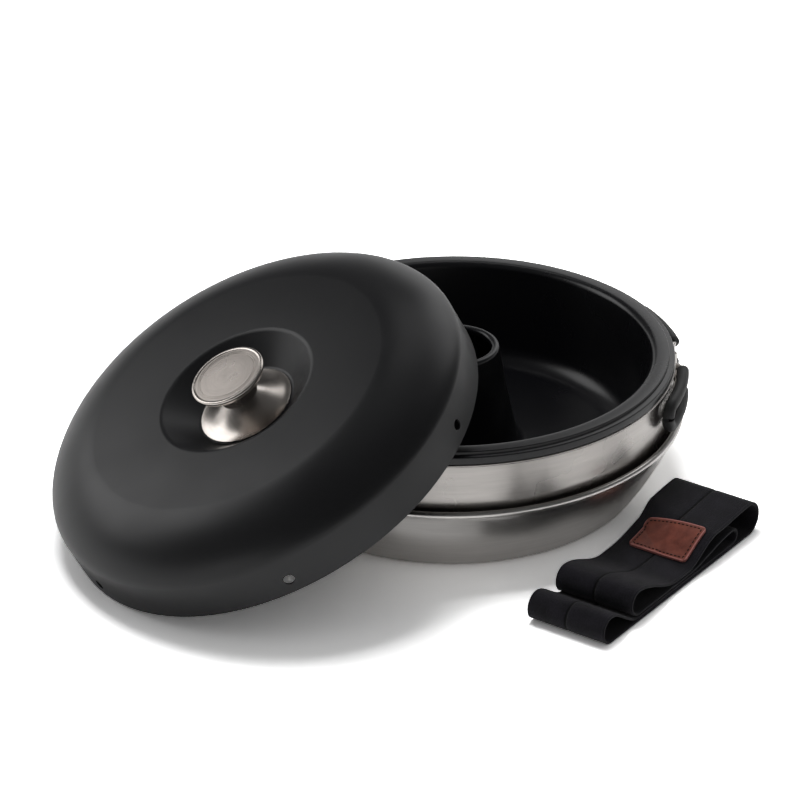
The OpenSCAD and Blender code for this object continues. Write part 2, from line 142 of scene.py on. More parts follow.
def roundCorner(a, b, c, radius, count):
    a, b, c = Vector(a), Vector(b), Vector(c)
    u, v = (a - b).normalized(), (c - b).normalized()
    half = math.acos(max(-1, min(1, u.dot(v)))) / 2
    centre = b + (u + v).normalized() * radius / math.sin(half)
    first = b + u * radius / math.tan(half) - centre
    last = b + v * radius / math.tan(half) - centre
    start = math.degrees(math.atan2(first.y, first.x))
    end = math.degrees(math.atan2(last.y, last.x))
    turn = (end - start + 540) % 360 - 180
    return arcPoints(centre, radius, start, start + turn, count)


def asideLine(points, gap):
    # the same line moved to its left by gap, mitred at each point
    line = [Vector(p) for p in points]
    moved = []
    for i, p in enumerate(line):
        before = (p - line[i - 1]).normalized() if i else (line[1] - p).normalized()
        after = (line[i + 1] - p).normalized() if i < len(line) - 1 else before
        left = Vector((-before.y, before.x)) + Vector((-after.y, after.x))
        moved.append(tuple(p + left * gap / (1 + before.dot(after))))
    return moved


def smoothStep(t):
    t = max(0, min(1, t))
    return t * t * (3 - 2 * t)


def drawLine(name, points):
    # a chain of vertices, started from a small plane merged to one point
    pickNothing()
    bpy.ops.mesh.primitive_plane_add(size=0.002, location=points[0])
    piece = rename(bpy.context.active_object, name)
    settle(piece)
    bpy.ops.object.mode_set(mode="EDIT")
    bpy.ops.mesh.select_all(action="SELECT")
    bpy.ops.mesh.merge(type="CENTER")
    for a, b in zip(points, points[1:]):
        bpy.ops.mesh.extrude_vertices_move(TRANSFORM_OT_translate={"value": Vector(b) - Vector(a)})
    bpy.ops.object.mode_set(mode="OBJECT")
    return piece


def turnOnLathe(name, outline, steps=160, shadeAngle=38):
    # draws a closed outline upright and spins it round the Z axis
    upright = [(p[0] * mm, 0, p[1] * mm) for p in outline]
    piece = drawLine(name, upright + [upright[0]])
    bpy.ops.object.mode_set(mode="EDIT")
    bpy.ops.mesh.select_all(action="SELECT")
    bpy.ops.mesh.remove_doubles(threshold=mergeGap)
    bpy.ops.mesh.spin(steps=steps, angle=2 * math.pi, center=(0, 0, 0), axis=(0, 0, 1))
    mendMesh(piece)
    smoothShade(piece, shadeAngle)
    return piece


def tubeAlong(name, path, diameter, closed=False, sides=6):
    pickNothing()
    bpy.ops.curve.primitive_nurbs_path_add()
    piece = rename(bpy.context.active_object, name)
    spline = piece.data.splines[0]
    spline.type = "POLY"
    spline.points.add(len(path) - len(spline.points))
    for point, place in zip(spline.points, path):
        point.co = (place[0] * mm, place[1] * mm, place[2] * mm, 1)
    spline.use_cyclic_u = closed
    piece.data.dimensions = "3D"
    piece.data.twist_mode = "Z_UP"
    piece.data.bevel_depth = diameter / 2 * mm
    piece.data.bevel_resolution = sides
    piece.data.use_fill_caps = not closed
    settle(piece)
    bpy.ops.object.convert(target="MESH")
    piece = rename(bpy.context.active_object, name)
    mendMesh(piece)
    return piece


# finishes

def linear(r, g, b):
    # a colour as it looks on screen, from 0 to 255, as Blender wants it
    def one(c):
        c = c / 255
        return c / 12.92 if c <= 0.04045 else ((c + 0.055) / 1.055) ** 2.4
    return (one(r), one(g), one(b), 1)


def addNode(tree, kind, **settings):
    node = tree.nodes.new(kind)
    for key, value in settings.items():
        setattr(node, key, value)
    return node


def newEffect(name, inputs, outputs):
    # an empty node group with its named sockets
    group = bpy.data.node_groups.new(name, "ShaderNodeTree")
    for label, kind, value in inputs:
        socket = group.interface.new_socket(name=label, in_out="INPUT", socket_type=kind)
        if value is not None:
            socket.default_value = value
    for label, kind in outputs:
        group.interface.new_socket(name=label, in_out="OUTPUT", socket_type=kind)
    return group, addNode(group, "NodeGroupInput"), addNode(group, "NodeGroupOutput")


def give(tree, socket, value):
    # a number, vector or colour is set on the socket, and a node's output is linked to it
    if isinstance(value, (int, float, tuple)):
        socket.default_value = value
    else:
        tree.links.new(value, socket)


def giveAll(tree, node, values):
    # the values by the names of the node's sockets
    for label, value in values.items():
        give(tree, node.inputs[label], value)


def mathNode(tree, operation, *values, clamp=False):
    node = addNode(tree, "ShaderNodeMath", operation=operation, use_clamp=clamp)
    for i, value in enumerate(values):
        give(tree, node.inputs[i], value)
    return node.outputs[0]


def vectorNode(tree, operation, *values, scale=None):
    node = addNode(tree, "ShaderNodeVectorMath", operation=operation)
    for i, value in enumerate(values):
        give(tree, node.inputs[i], value)
    if scale is not None:
        give(tree, node.inputs["Scale"], scale)
    return node.outputs["Value" if operation == "LENGTH" else "Vector"]


def axesOf(tree, vector):
    node = addNode(tree, "ShaderNodeSeparateXYZ")
    give(tree, node.inputs[0], vector)
    return node.outputs["X"], node.outputs["Y"], node.outputs["Z"]


def noiseNode(tree, vector, scale, detail=3, roughness=0.5, w=None):
    node = addNode(tree, "ShaderNodeTexNoise", noise_dimensions="3D" if w is None else "4D")
    giveAll(tree, node, {"Vector": vector, "Scale": scale, "Detail": detail, "Roughness": roughness})
    if w is not None:
        give(tree, node.inputs["W"], w)
    return node.outputs["Fac"]


def buildLatheGrain():
    # fine lines that run round the piece's own axis, as a turned or brushed sheet has
    group, start, end = newEffect(
        "latheGrain",
        [("Vector", "NodeSocketVector", None), ("Lines", "NodeSocketFloat", 900.0),
         ("Length", "NodeSocketFloat", 5.0)],
        [("Height", "NodeSocketFloat"), ("Streaks", "NodeSocketFloat"), ("Clouds", "NodeSocketFloat")])
    vector, lines = start.outputs["Vector"], start.outputs["Lines"]
    flat = vectorNode(group, "MULTIPLY", vector, (1, 1, 0))
    around = vectorNode(group, "SCALE", vectorNode(group, "NORMALIZE", flat), scale=start.outputs["Length"])
    up = mathNode(group, "MULTIPLY", axesOf(group, vector)[2], lines)
    outward = addNode(group, "ShaderNodeCombineXYZ")
    give(group, outward.inputs["Z"], mathNode(group, "MULTIPLY", vectorNode(group, "LENGTH", flat), lines))
    place = vectorNode(group, "ADD", around, outward.outputs[0])
    wide = 0.12    # the broad streaks are the fine lines at this scale
    broad = vectorNode(group, "SCALE", place, scale=wide)
    giveAll(group, end, {
        "Height": noiseNode(group, place, 1.0, detail=4, roughness=0.65, w=up),
        "Streaks": noiseNode(group, broad, 1.0, w=mathNode(group, "MULTIPLY", up, wide)),
        "Clouds": noiseNode(group, vector, 22.0)})
    return group


def buildCoatGrain():
    # the fine orange peel of a baked coat, with faint larger clouds
    group, start, end = newEffect(
        "coatGrain",
        [("Vector", "NodeSocketVector", None), ("Scale", "NodeSocketFloat", 900.0)],
        [("Height", "NodeSocketFloat"), ("Specks", "NodeSocketFloat"), ("Clouds", "NodeSocketFloat")])
    vector, scale = start.outputs["Vector"], start.outputs["Scale"]
    giveAll(group, end, {
        "Height": noiseNode(group, vector, scale, detail=2),
        "Specks": noiseNode(group, vector, mathNode(group, "MULTIPLY", scale, 2.6), detail=1),
        "Clouds": noiseNode(group, vector, mathNode(group, "MULTIPLY", scale, 0.02))})
    return group


def buildWeave():
    # elastic webbing: ribs across the band and fine cords along it, from a UV map in metres
    group, start, end = newEffect(
        "elasticWeave",
        [("Vector", "NodeSocketVector", None), ("Ribs", "NodeSocketFloat", 1100.0),
         ("Cords", "NodeSocketFloat", 1400.0)],
        [("Height", "NodeSocketFloat"), ("Tone", "NodeSocketFloat")])
    vector = start.outputs["Vector"]
    x, y = axesOf(group, vector)[:2]
    turn = 2 * math.pi
    along = mathNode(group, "MULTIPLY", x, start.outputs["Ribs"])
    across = mathNode(group, "MULTIPLY", y, start.outputs["Cords"])
    half = mathNode(group, "MULTIPLY", mathNode(group, "FLOOR", across), 0.5)
    shifted = mathNode(group, "ADD", along, half)
    rib = mathNode(group, "SINE", mathNode(group, "MULTIPLY", shifted, turn))
    cord = mathNode(group, "SINE", mathNode(group, "MULTIPLY", across, turn))
    pattern = mathNode(group, "MULTIPLY_ADD", rib, 0.5, mathNode(group, "MULTIPLY", cord, 0.5))
    fuzz = noiseNode(group, vector, 1100.0, detail=2)
    tone = mathNode(group, "MULTIPLY", noiseNode(group, vector, 90.0, detail=4), 0.45)
    giveAll(group, end, {"Height": mathNode(group, "MULTIPLY_ADD", pattern, 0.35, fuzz),
                         "Tone": mathNode(group, "MULTIPLY_ADD", fuzz, 0.55, tone)})
    return group


def buildHide():
    # leather: fine pebbled grain with soft colour changes
    group, start, end = newEffect(
        "leatherGrain",
        [("Vector", "NodeSocketVector", None), ("Scale", "NodeSocketFloat", 1300.0)],
        [("Height", "NodeSocketFloat"), ("Tone", "NodeSocketFloat")])
    vector, scale = start.outputs["Vector"], start.outputs["Scale"]
    cells = addNode(group, "ShaderNodeTexVoronoi", feature="SMOOTH_F1")
    giveAll(group, cells, {"Vector": vector, "Scale": scale})
    wrinkle = noiseNode(group, vector, scale)
    giveAll(group, end, {"Height": mathNode(group, "MULTIPLY_ADD", wrinkle, 0.5, cells.outputs["Distance"]),
                         "Tone": noiseNode(group, vector, 160.0, detail=5)})
    return group


latheGrain = buildLatheGrain()
coatGrain = buildCoatGrain()
elasticWeave = buildWeave()
leatherGrain = buildHide()


def startMaterial(name, place=None, uv=None):
    # a material with its shader, and coordinates centred on the piece's own axis
    material = bpy.data.materials.new(name)
    material.use_nodes = True
    tree = material.node_tree
    shader = tree.nodes["Principled BSDF"]
    if uv:
        source = addNode(tree, "ShaderNodeUVMap", uv_map=uv).outputs["UV"]
    else:
        source = addNode(tree, "ShaderNodeTexCoord").outputs["Object"]
    mapping = addNode(tree, "ShaderNodeMapping", vector_type="TEXTURE")
    if place is not None:
        spot, turn, _ = place.decompose()
        mapping.inputs["Location"].default_value = spot
        mapping.inputs["Rotation"].default_value = turn.to_euler("XYZ")
    give(tree, mapping.inputs["Vector"], source)
    return material, tree, shader, mapping.outputs["Vector"]


def useEffect(tree, group, vector, **values):
    node = addNode(tree, "ShaderNodeGroup", node_tree=group)
    giveAll(tree, node, {"Vector": vector, **values})
    return node


def rangeOf(tree, value, low, high, fromLow=0.3, fromHigh=0.7):
    node = addNode(tree, "ShaderNodeMapRange")
    giveAll(tree, node, {"Value": value, "From Min": fromLow, "From Max": fromHigh,
                         "To Min": low, "To Max": high})
    return node.outputs["Result"]


def mixOf(tree, factor, first, second):
    node = addNode(tree, "ShaderNodeMix", data_type="RGBA")
    giveAll(tree, node, {"Factor": factor, "A": first, "B": second})
    return node.outputs["Result"]


def bumpOf(tree, height, depth):
    bump = addNode(tree, "ShaderNodeBump")
    giveAll(tree, bump, {"Strength": 1.0, "Distance": depth * mm, "Height": height})
    return bump.outputs["Normal"]


def steelFinish(name, dark, bright, rough, lines, depth, length=5.0, place=None):
    material, tree, shader, vector = startMaterial(name, place)
    grain = useEffect(tree, latheGrain, vector, Lines=lines, Length=length)
    tone = mathNode(tree, "ADD", mathNode(tree, "MULTIPLY", grain.outputs["Streaks"], 0.6),
                    mathNode(tree, "MULTIPLY", grain.outputs["Height"], 0.4))
    giveAll(tree, shader, {
        "Metallic": 1.0,
        "Base Color": mixOf(tree, rangeOf(tree, tone, 0, 1), linear(*dark), linear(*bright)),
        "Roughness": rangeOf(tree, grain.outputs["Clouds"], *rough),
        "Normal": bumpOf(tree, grain.outputs["Height"], depth)})
    return material


def coatFinish(name, dark, light, rough, scale, depth, shine=0.5):
    material, tree, shader, vector = startMaterial(name)
    grain = useEffect(tree, coatGrain, vector, Scale=scale)
    giveAll(tree, shader, {
        "Specular IOR Level": shine,
        "Base Color": mixOf(tree, rangeOf(tree, grain.outputs["Specks"], 0, 1), linear(*dark), linear(*light)),
        "Roughness": rangeOf(tree, grain.outputs["Clouds"], *rough),
        "Normal": bumpOf(tree, grain.outputs["Height"], depth)})
    return material


# base tray

tray = {"mouth": 136.8, "height": 46, "draft": 18, "bow": 8.2, "rounding": 12, "bead": 2.15,
        "sheet": 0.9, "hole": 19, "cone": 45, "coneHeight": 16, "coneBend": 8, "floorFlat": 20,
        "beadOut": 0.35, "beadUp": 0.5}


def trayWall(down):
    return tray["mouth"] - tray["draft"] * down - tray["bow"] * down * down


def buildTray(material):
    wall = [(trayWall(i / 12), tray["height"] * (1 - i / 12)) for i in range(12, -1, -1)]
    hole = (tray["hole"], tray["coneHeight"])
    cone = (tray["cone"], 0)
    floor = (tray["cone"] + tray["floorFlat"], 0)
    line = [hole] + roundCorner(hole, cone, floor, tray["coneBend"], 8)
    line += roundCorner(floor, wall[0], wall[1], tray["rounding"], 14) + wall[2:]
    centre = (tray["mouth"] + tray["beadOut"], tray["height"] + tray["bead"] + tray["beadUp"])
    bead = arcPoints(centre, tray["bead"], -98, 215, 28)
    inside = asideLine(line, tray["sheet"])
    piece = turnOnLathe("baseTray", line + bead + inside[::-1], steps=192)
    finishPiece(piece, "base", material, ["base_tray"])


# stainless ring

ring = {"mouth": 133.0, "draft": 1.5, "height": 43, "bead": 0.9, "sheet": 0.8, "foot": 3,
        "footBend": 1.2, "beadIn": 0.1}


def buildRing(material):
    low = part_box("outer_ring")[0].z / mm
    high = low + ring["height"]
    footRadius = ring["mouth"] - ring["draft"]
    start = (footRadius - ring["foot"], low)
    line = [start] + roundCorner(start, (footRadius, low), (ring["mouth"], high), ring["footBend"], 6)
    line += [(footRadius + ring["draft"] * i / 8, low + ring["height"] * i / 8) for i in range(1, 8)]
    line += [(ring["mouth"], high - 2 * ring["bead"])]
    centre = (ring["mouth"] - ring["beadIn"], high - ring["bead"])
    bead = arcPoints(centre, ring["bead"], -70, 235, 20)
    inside = asideLine(line, ring["sheet"])
    piece = turnOnLathe("ovenRing", line + bead + inside[::-1], steps=192)
    finishPiece(piece, "ring", material, ["outer_ring"])


# baking mould

mould = {"mouth": 130, "flange": 10, "ledge": 3.4, "step": 2, "hem": 4.5, "depth": 62.5, "draft": 11.5,
         "rounding": 14, "sheet": 1.8, "chimney": 28.5, "flare": 12, "flarePower": 1.2, "hole": 23.4,
         "rise": 3.5, "gap": 0.3, "hemBend": 0.8, "stepBend": 0.3, "flangeBend": 0.7, "innerBend": 4.2,
         "footBend": 6, "lipDown": 1.5}


def buildMould(material):
    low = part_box("outer_ring")[1].z / mm + mould["gap"]
    ledge = low + mould["hem"]
    flange = ledge + mould["step"]
    floor = flange - mould["depth"]
    top = flange + mould["rise"]
    edge = mould["mouth"] + mould["ledge"]
    inner = mould["mouth"] - mould["flange"]
    lip = (mould["chimney"] - mould["hole"]) / 2
    chimney = []
    for i in range(25):
        w = i / 24
        flare = mould["flare"] * (1 - w) ** mould["flarePower"]
        chimney.append((mould["chimney"] + flare, floor + (top - lip - floor) * w))
    # each corner of the outline from the hem inward, with its bend and the bend's steps
    corners = [(edge, low), (edge, ledge), (mould["mouth"], ledge), (mould["mouth"], flange), (inner, flange),
               (inner - mould["draft"], floor), chimney[0], chimney[1]]
    bends = [(mould["hemBend"], 4), (mould["stepBend"], 2), (mould["flangeBend"], 4),
             (mould["innerBend"], 12), (mould["rounding"], 14), (mould["footBend"], 10)]
    line = [corners[0]]
    for i, (bend, count) in enumerate(bends):
        line += roundCorner(*corners[i:i + 3], bend, count)
    line += chimney[3:-1] + arcPoints((mould["chimney"] - lip, top - lip), lip, 0, 180, 14)
    line += [(mould["hole"], top - lip - mould["lipDown"])]
    under = asideLine(line, mould["sheet"])
    piece = turnOnLathe("bakingMould", line + under[::-1], steps=192)
    finishPiece(piece, "mould", material, ["baking_mould"])


# lid, made level and then leaned on the mould

lid = {"radius": 132.2, "height": 48, "skirt": 23.7, "shoulder": 40, "fullness": 1.61, "sheet": 1.2,
       "dish": 48.4, "dishFloor": 30.5, "dishDepth": 14, "dishEdge": 5, "dishBend": 3, "bore": 2.6,
       "vents": 6, "ventWidth": 6.5, "ventHeight": 9.5, "ventDeep": 12,
       "lean": 27.45, "leanTo": -152.45, "out": 128.09, "side": 14.1, "up": 61.24, "turn": 7.1}
leanPlace = (Matrix.Rotation(math.radians(lid["leanTo"]), 4, "Z")
             @ Matrix.Translation((lid["out"] * mm, lid["side"] * mm, lid["up"] * mm))
             @ Matrix.Rotation(math.radians(lid["lean"]), 4, "Y")
             @ Matrix.Rotation(math.radians(lid["turn"]), 4, "Z"))


def buildLid(material):
    line = [(lid["radius"], 0), (lid["radius"], lid["skirt"] * 0.5)]
    flat = lid["radius"] - lid["shoulder"]
    power = 2 / lid["fullness"]
    for i in range(29):
        t = math.radians(90 * i / 28)
        line.append((flat + lid["shoulder"] * max(0, math.cos(t)) ** power,
                     lid["skirt"] + (lid["height"] - lid["skirt"]) * math.sin(t) ** power))
    floor = lid["height"] - lid["dishDepth"]
    rim, low = (lid["dish"], lid["height"]), (lid["dishFloor"], floor)
    line += roundCorner((flat, lid["height"]), rim, low, lid["dishEdge"], 10)
    line += roundCorner(rim, low, (0, floor), lid["dishBend"], 8)
    line += [(lid["bore"], floor)]
    under = asideLine(line, lid["sheet"])
    piece = turnOnLathe("lidShell", line + under[::-1], steps=192, shadeAngle=30)
    drills = []
    for i in range(lid["vents"]):
        pickNothing()
        bpy.ops.mesh.primitive_cylinder_add(
            vertices=40, radius=lid["ventWidth"] / 2 * mm, depth=lid["ventDeep"] * mm,
            location=(lid["radius"] * mm, 0, lid["ventHeight"] * mm), rotation=(0, math.pi / 2, 0))
        drill = bpy.context.active_object
        settle(drill)
        settle(drill, Matrix.Rotation(2 * math.pi * i / lid["vents"], 4, "Z"))
        drills.append(drill)
    drill = joinAll(drills, "drill")
    cut = piece.modifiers.new("vents", "BOOLEAN")
    cut.operation = "DIFFERENCE"
    cut.solver = "EXACT"
    cut.object = drill
    applyModifiers(piece)
    bpy.data.objects.remove(drill)
    smoothShade(piece, 30)
    settle(piece, leanPlace)
    finishPiece(piece, "lid", material, ["lid_shell"])


# knob, its base and its cap

knob = {"baseRadius": 29, "baseHeight": 9.5, "baseEdge": 0.3, "basePower": 1.6, "neck": 11.5, "radius": 23,
        "height": 16.5, "head": 4, "hollow": 3, "hollowEdge": 1.5, "headEdge": 1.2, "rim": 2.4,
        "rimBevel": (0.3, 0.25), "screwRoom": 0.5, "cap": 0.8, "capGap": 0.05, "capSunk": 0.2,
        "capBevel": (0.2, 0.15), "grooves": (18.6, 17.4), "grooveTop": 0.35, "grooveFloor": 0.12,
        "grooveDepth": 0.16, "baseLow": 34.05, "low": 43.6}


def buildKnob(baseMaterial, knobMaterial, capMaterial):
    low, radius, edge = knob["baseLow"], knob["baseRadius"], knob["baseEdge"]
    outline = [(lid["bore"], low), (radius - edge, low), (radius, low + edge)]
    for i in range(25):
        w = i / 24
        outline.append((radius + (knob["neck"] - radius) * w,
                        low + 2 * edge + (knob["baseHeight"] - 2 * edge) * w ** knob["basePower"]))
    outline.append((lid["bore"], low + knob["baseHeight"]))
    base = turnOnLathe("knobBase", outline)
    settle(base, leanPlace)
    finishPiece(base, "lid", baseMaterial, ["knob_base"])

    low, high, radius = knob["low"], knob["low"] + knob["height"], knob["radius"]
    under = high - knob["head"] - knob["hollow"]
    outline = [(lid["bore"], low), (knob["neck"], low)]
    for i in range(13):
        t = math.radians(7.5 * i)
        outline.append((knob["neck"] + (radius - knob["hollowEdge"] - knob["neck"]) * (1 - math.cos(t)),
                        under + knob["hollow"] * math.sin(t)))
    outline += arcPoints((radius - knob["headEdge"], high - knob["headEdge"]), knob["headEdge"], -60, 90, 14)
    capEdge = radius - knob["rim"]
    seat = high - knob["cap"] - knob["capGap"]
    pocket = under + knob["screwRoom"]
    wide, deep = knob["rimBevel"]
    outline += [(capEdge + wide, high), (capEdge, high - deep), (capEdge, seat), (0, seat), (0, pocket),
                (lid["bore"], pocket)]
    head = turnOnLathe("lidKnob", outline, shadeAngle=45)
    settle(head, leanPlace)
    finishPiece(head, "lid", knobMaterial, ["lid_knob"])

    low, top, edge = seat + knob["capGap"], high - knob["capSunk"], capEdge - knob["capGap"]
    wide, deep = knob["capBevel"]
    outline = [(0, low), (edge, low), (edge, top - deep), (edge - wide, top)]
    wide, narrow, deep = knob["grooveTop"], knob["grooveFloor"], top - knob["grooveDepth"]
    for groove in knob["grooves"]:
        outline += [(groove + wide, top), (groove + narrow, deep)]
        outline += [(groove - narrow, deep), (groove - wide, top)]
    outline += [(0, top)]
    cap = turnOnLathe("knobCap", outline, shadeAngle=20)
    settle(cap, leanPlace)
    finishPiece(cap, "lid", capMaterial, ["knob_cap"])


# folding handles, their brackets and rivets

wireLow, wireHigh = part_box("wire_right_front")
handle = {"at": 5, "loopHeight": 13.6, "length": 60, "open": 2, "wire": 3.2,
          "sleeve": 7.4, "sleeveFrom": 9, "bend": 2.4, "hingeGap": 20, "hinge": 135.5527, "loop": 138.2,
          "sleeveEdge": 1.1, "bracket": 1.0, "bracketShort": 0.6, "bracketEdge": 0.25, "curl": 300,
          "pinFit": 0.3, "height": (wireLow.z + wireHigh.z) / 2 / mm}
hingeTurn = math.degrees(handle["hingeGap"] / 2 / handle["hinge"])


def loopLine(start):
    # half a turn round a folded handle, as distance from its hinge and height
    up = handle["loopHeight"] / 2
    run = handle["length"] - up
    bend = handle["bend"]
    half = [(start, up)] if start else arcPoints((bend, up - bend), bend, 180, 90, 8)
    first = max(start, bend)
    half += [(first + (run - first) * i / 20, up) for i in range(1, 21)]
    turns = [math.radians(10 * i) for i in range(1, 18)]
    tip = [(run + up * math.sin(t), up * math.cos(t)) for t in turns]
    return half + tip + [(u, -z) for u, z in half[::-1]]


def laidRound(line, angle, way):
    points = []
    for u, z in line:
        share = smoothStep((u - handle["bend"]) / (handle["sleeveFrom"] - handle["bend"] - 1))
        radius = handle["hinge"] + (handle["loop"] - handle["hinge"]) * share
        a = math.radians(angle) + way * u / handle["loop"]
        points.append((radius * math.cos(a), radius * math.sin(a), handle["height"] + z))
    return points


def swung(angle, opened):
    # turns a handle about its hinge
    spot = Matrix.Rotation(math.radians(angle), 4, "Z") @ Matrix.Translation((handle["hinge"] * mm, 0, 0))
    return spot @ Matrix.Rotation(math.radians(opened), 4, "Z") @ spot.inverted()


def buildHandle(name, angle, way, opened, wireMaterial, sleeveMaterial):
    part = "".join(word.capitalize() for word in name.split("_"))
    wire = tubeAlong("wire" + part, laidRound(loopLine(0), angle, way), handle["wire"], closed=True)
    smoothShade(wire, 60)
    settle(wire, swung(angle, opened))
    finishPiece(wire, "handle_" + name, wireMaterial, ["wire_" + name])
    path = laidRound(loopLine(handle["sleeveFrom"]), angle, way)
    sleeve = tubeAlong("sleeve" + part, path, handle["sleeve"], sides=10)
    roundEdges(sleeve, handle["sleeveEdge"], 4)
    smoothShade(sleeve, 60)
    settle(sleeve, swung(angle, opened))
    finishPiece(sleeve, "handle_" + name, sleeveMaterial, ["sleeve_" + name])


def buildBracket(side, angle, material):
    # a strip on the ring's wall whose two ends curl round the handles' upright wires
    curl = handle["wire"] / 2 + handle["pinFit"] + handle["bracket"] / 2
    tall = handle["loopHeight"] - 2 * handle["bend"] - handle["bracketShort"]
    ends = []
    for way in (-1, 1):
        a = math.radians(angle + way * hingeTurn)
        spot = Vector((math.cos(a), math.sin(a))) * handle["hinge"]
        out, along = Vector((math.cos(a), math.sin(a))), Vector((-math.sin(a), math.cos(a))) * way
        turns = [math.radians(handle["curl"] * i / 25) for i in range(26)]
        ends.append([spot - out * curl * math.cos(t) + along * curl * math.sin(t) for t in turns])
    strip = []
    for i in range(1, 12):
        a = math.radians(angle - hingeTurn + 2 * hingeTurn * i / 12)
        strip.append(Vector((math.cos(a), math.sin(a))) * (handle["hinge"] - curl))
    plan = ends[0][::-1] + strip + ends[1]
    low = handle["height"] - tall / 2
    piece = drawLine("bracket" + side.capitalize(), [(p.x * mm, p.y * mm, low * mm) for p in plan])
    bpy.ops.object.mode_set(mode="EDIT")
    bpy.ops.mesh.select_all(action="SELECT")
    bpy.ops.mesh.extrude_edges_move(TRANSFORM_OT_translate={"value": (0, 0, tall * mm)})
    mendMesh(piece)
    sheet = piece.modifiers.new("sheet", "SOLIDIFY")
    sheet.thickness = handle["bracket"] * mm
    sheet.offset = 0
    sheet.use_even_offset = True
    applyModifiers(piece)
    roundEdges(piece, handle["bracketEdge"], 2)
    smoothShade(piece, 40)
    finishPiece(piece, "ring", material, ["bracket_" + side])


rivet = {"wide": 2.6, "apart": 7, "head": 2.21, "stand": 0.15, "brim": 0.15, "dome": 0.75, "clear": 0.05,
         "tail": 0.9, "tailEdge": 0.3}


def buildRivets(side, angle, material):
    # a domed head outside, a flat one inside and a shank between them
    wall = ring["mouth"] - ring["draft"] * (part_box("outer_ring")[1].z / mm - handle["height"]) / ring["height"]
    outer = wall + handle["bracket"] + rivet["stand"]
    brim = outer + rivet["brim"]
    inner = wall - ring["sheet"] - rivet["clear"]
    tail, edge, head, shank = inner - rivet["tail"], rivet["tailEdge"], rivet["head"], rivet["wide"] / 2
    outline = [(0, tail), (head - edge, tail), (head, tail + edge), (head, inner)]
    outline += [(shank, inner), (shank, outer), (head, outer), (head, brim)]
    dome = [math.radians(t) for t in range(15, 91, 15)]
    outline += [(head * math.cos(t), brim + rivet["dome"] * math.sin(t)) for t in dome]
    first = turnOnLathe("rivet", outline, steps=32)
    gap = math.degrees(rivet["apart"] / 2 / ring["mouth"])
    pair = []
    for way in (-1, 1):
        place = (Matrix.Rotation(math.radians(angle + way * gap), 4, "Z")
                 @ Matrix.Translation((0, 0, handle["height"] * mm)) @ Matrix.Rotation(math.pi / 2, 4, "Y"))
        pair.append(copyOf(first, "rivetCopy", place))
    bpy.data.objects.remove(first)
    rivets = joinAll(pair, "rivets" + side.capitalize())
    finishPiece(rivets, "ring", material, ["rivets_" + side])


# elastic strap, folded over itself, with its sewn leather patch

strap = {"x": 80.93, "y": -206.51, "turn": 54, "width": 54, "thick": 1.6, "length": 169, "farLoop": 21.2,
         "frontLoop": 17.4, "upperLoop": 16.4, "upperBack": 29.5, "innerLoop": 10.8, "innerBack": 24,
         "gap": 0.5, "pinchAfter": 41, "pinchBefore": 50, "climb": 32, "crestDip": 2, "droop": 18,
         "narrow": 0.96, "widen": 0.05, "edgeRound": 0.45, "crease": 0.6, "stitch": 0.16, "stitchIn": 1.9}
patch = {"long": 25, "wide": 40, "aside": 1.5, "thick": 1.8, "corner": 3, "stitchIn": 2.3,
         "stitchPitch": 2.7, "thread": 0.75, "stitchLong": 0.9, "stitchEnd": 0.5, "stitchDip": 0.18,
         "stitchTaper": 0.7, "lift": 0.35, "edgeRound": 0.6, "forward": 2}
strapPlace = (Matrix.Translation((strap["x"] * mm, strap["y"] * mm, 0))
              @ Matrix.Rotation(math.radians(strap["turn"]), 4, "Z"))
layerStep = strap["thick"] + strap["gap"]
midLow = strap["thick"] / 2
loopRadius = {}
for key in ("farLoop", "frontLoop", "upperLoop", "innerLoop"):
    loopRadius[key] = (strap[key] - strap["thick"]) / 2
farAt = strap["length"] - loopRadius["farLoop"] - midLow
frontAt = loopRadius["frontLoop"] + midLow
upperAt = strap["upperBack"] + loopRadius["upperLoop"] + midLow
innerAt = strap["length"] - strap["innerBack"] - loopRadius["innerLoop"] - midLow
layers = [midLow + layerStep * i for i in range(4)]
crest = midLow + 2 * loopRadius["farLoop"]
crestLow = crest - strap["crestDip"]
pinchFrom, pinchTo = upperAt + strap["pinchAfter"], innerAt - strap["pinchBefore"]
crestAt = pinchTo + strap["climb"]
patchAt = (pinchTo + crestAt) / 2 + patch["forward"]


def easeLine(p, q, count):
    # a line that leaves p and reaches q level
    across, up = q[0] - p[0], q[1] - p[1]
    return [(p[0] + across * i / count, p[1] + up * smoothStep(i / count)) for i in range(1, count)]


def bandLine():
    # the middle of the folded band, seen from its side
    line = arcPoints((farAt, midLow + loopRadius["farLoop"]), loopRadius["farLoop"], 90, -90, 28)
    line += [(farAt + (frontAt - farAt) * i / 30, midLow) for i in range(1, 30)]
    line += arcPoints((frontAt, midLow + loopRadius["frontLoop"]), loopRadius["frontLoop"], -90, -270, 24)
    line += easeLine((frontAt, midLow + 2 * loopRadius["frontLoop"]), (upperAt - 1, layers[1]), 18)
    line += [(upperAt - 1 + (innerAt - upperAt + 1) * i / 24, layers[1]) for i in range(24)]
    line += arcPoints((innerAt, layers[1] + loopRadius["innerLoop"]), loopRadius["innerLoop"], -90, 90, 18)
    line += easeLine((innerAt, layers[1] + 2 * loopRadius["innerLoop"]), (pinchTo, layers[2]), 16)
    line += [(pinchTo + (upperAt - pinchTo) * i / 10, layers[2]) for i in range(10)]
    line += arcPoints((upperAt, layers[2] + loopRadius["upperLoop"]), loopRadius["upperLoop"], -90, -270, 24)
    line += easeLine((upperAt, layers[2] + 2 * loopRadius["upperLoop"]), (pinchFrom, layers[3]), 20)
    line += [(pinchFrom, layers[3]), (pinchTo, layers[3])]
    line += easeLine((pinchTo, layers[3]), (crestAt, crestLow), 24)
    line += [(crestAt, crestLow)]
    line += easeLine((crestAt, crestLow), (farAt, crest), 12)
    return line


